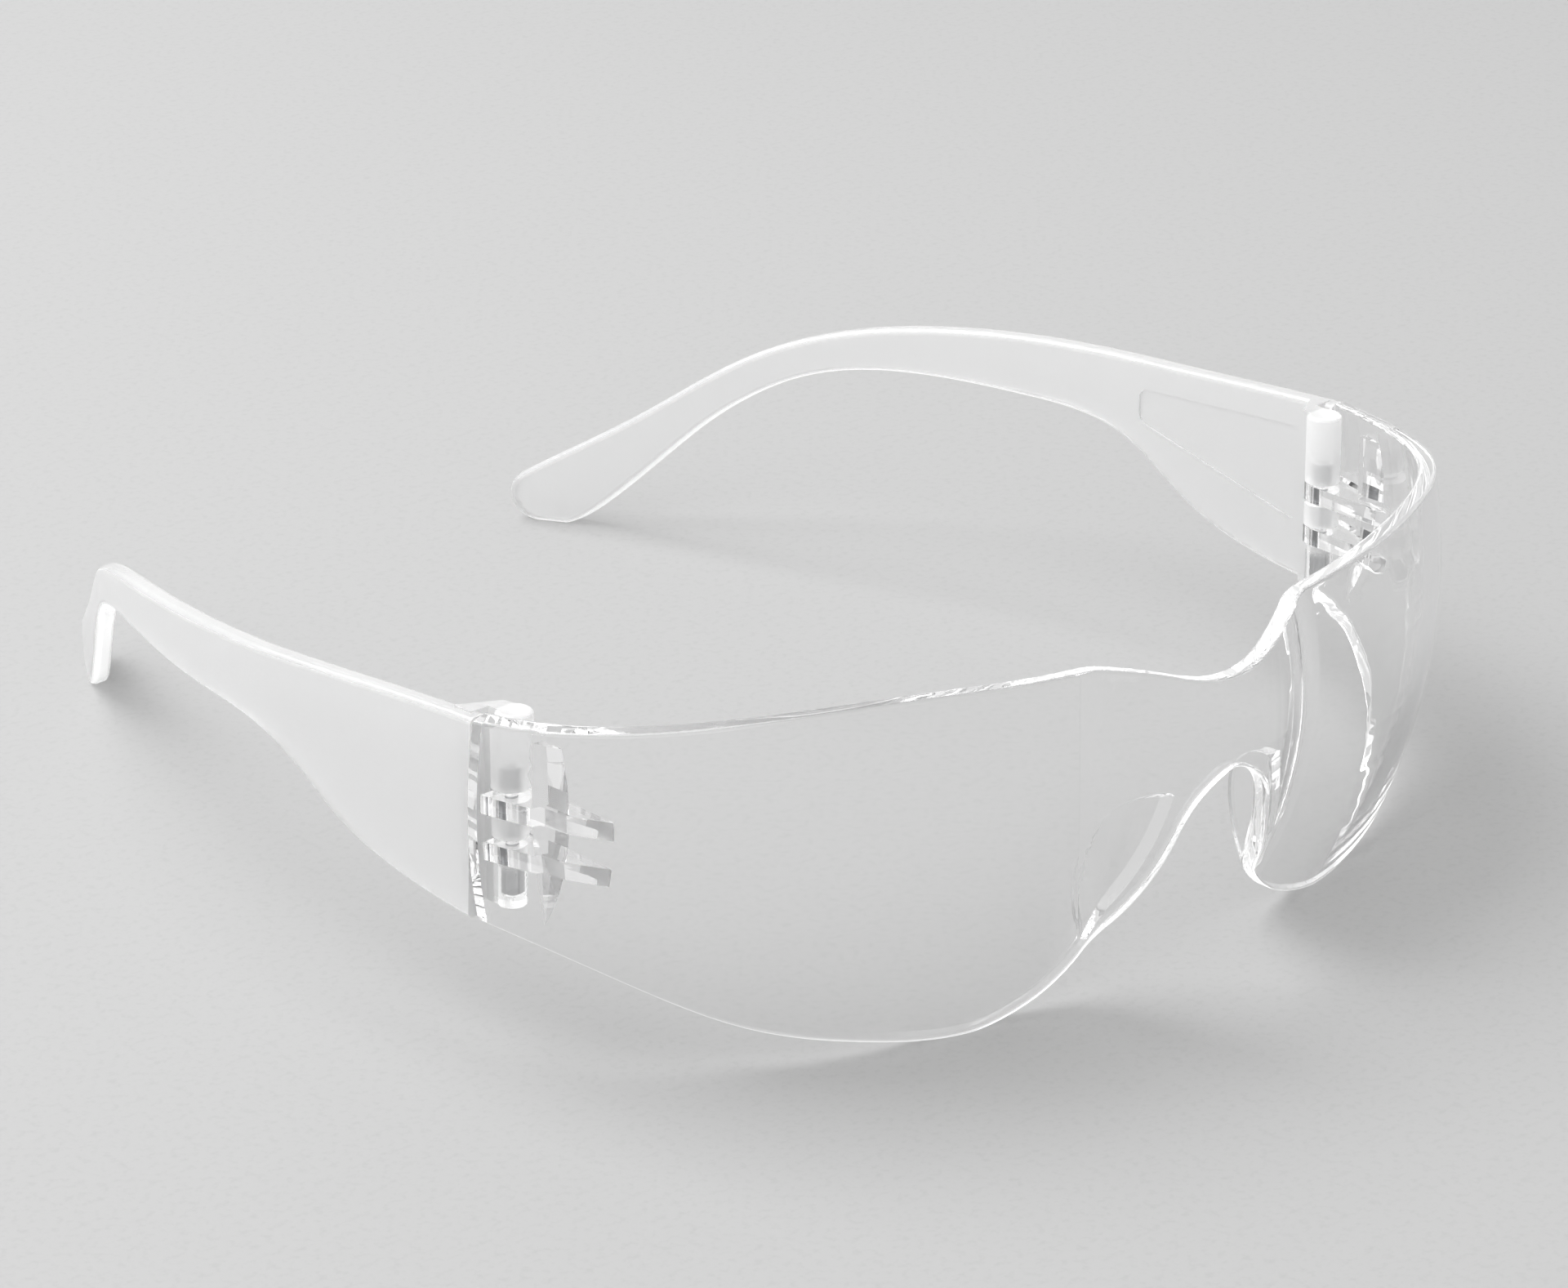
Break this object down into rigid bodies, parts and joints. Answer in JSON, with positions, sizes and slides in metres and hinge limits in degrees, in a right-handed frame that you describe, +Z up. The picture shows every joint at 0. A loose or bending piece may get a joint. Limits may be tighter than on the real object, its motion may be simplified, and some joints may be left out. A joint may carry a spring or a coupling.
{
  "type": "safety glasses",
  "caption": "Clear wraparound safety glasses with a one-piece lens, moulded nose flanges and two folding temples on hinge pins.",
  "frame": {"origin": "below the middle of the opened glasses' bounding box, on the surface they stand on", "axes": "+Z up; the lens faces -Y, so the temples run back along +Y; +X is the wearer's left"},
  "size_m": [0.1446, 0.168, 0.0451],
  "materials": {
    "clear_lens": "clear polished polycarbonate",
    "frosted_temple": "clear polycarbonate with finely frosted faces and polished rims",
    "pin_steel": "plain drawn steel wire"
  },
  "bodies": {
    "lens": {"lens": "clear_lens"},
    "left_temple": {"left_temple": "frosted_temple", "left_hinge_pin": "pin_steel"},
    "right_temple": {"right_temple": "frosted_temple", "right_hinge_pin": "pin_steel"}
  },
  "joints": [
    {"name": "left_hinge", "type": "hinge", "parent": "lens", "child": "left_temple", "pos_m": [0.06644, -0.03652, 0.025], "axis": [0, 0, 1], "range_deg": [0, 80]},
    {"name": "right_hinge", "type": "hinge", "parent": "lens", "child": "right_temple", "pos_m": [-0.06644, -0.03652, 0.025], "axis": [0, 0, -1], "range_deg": [0, 70]}
  ]
}
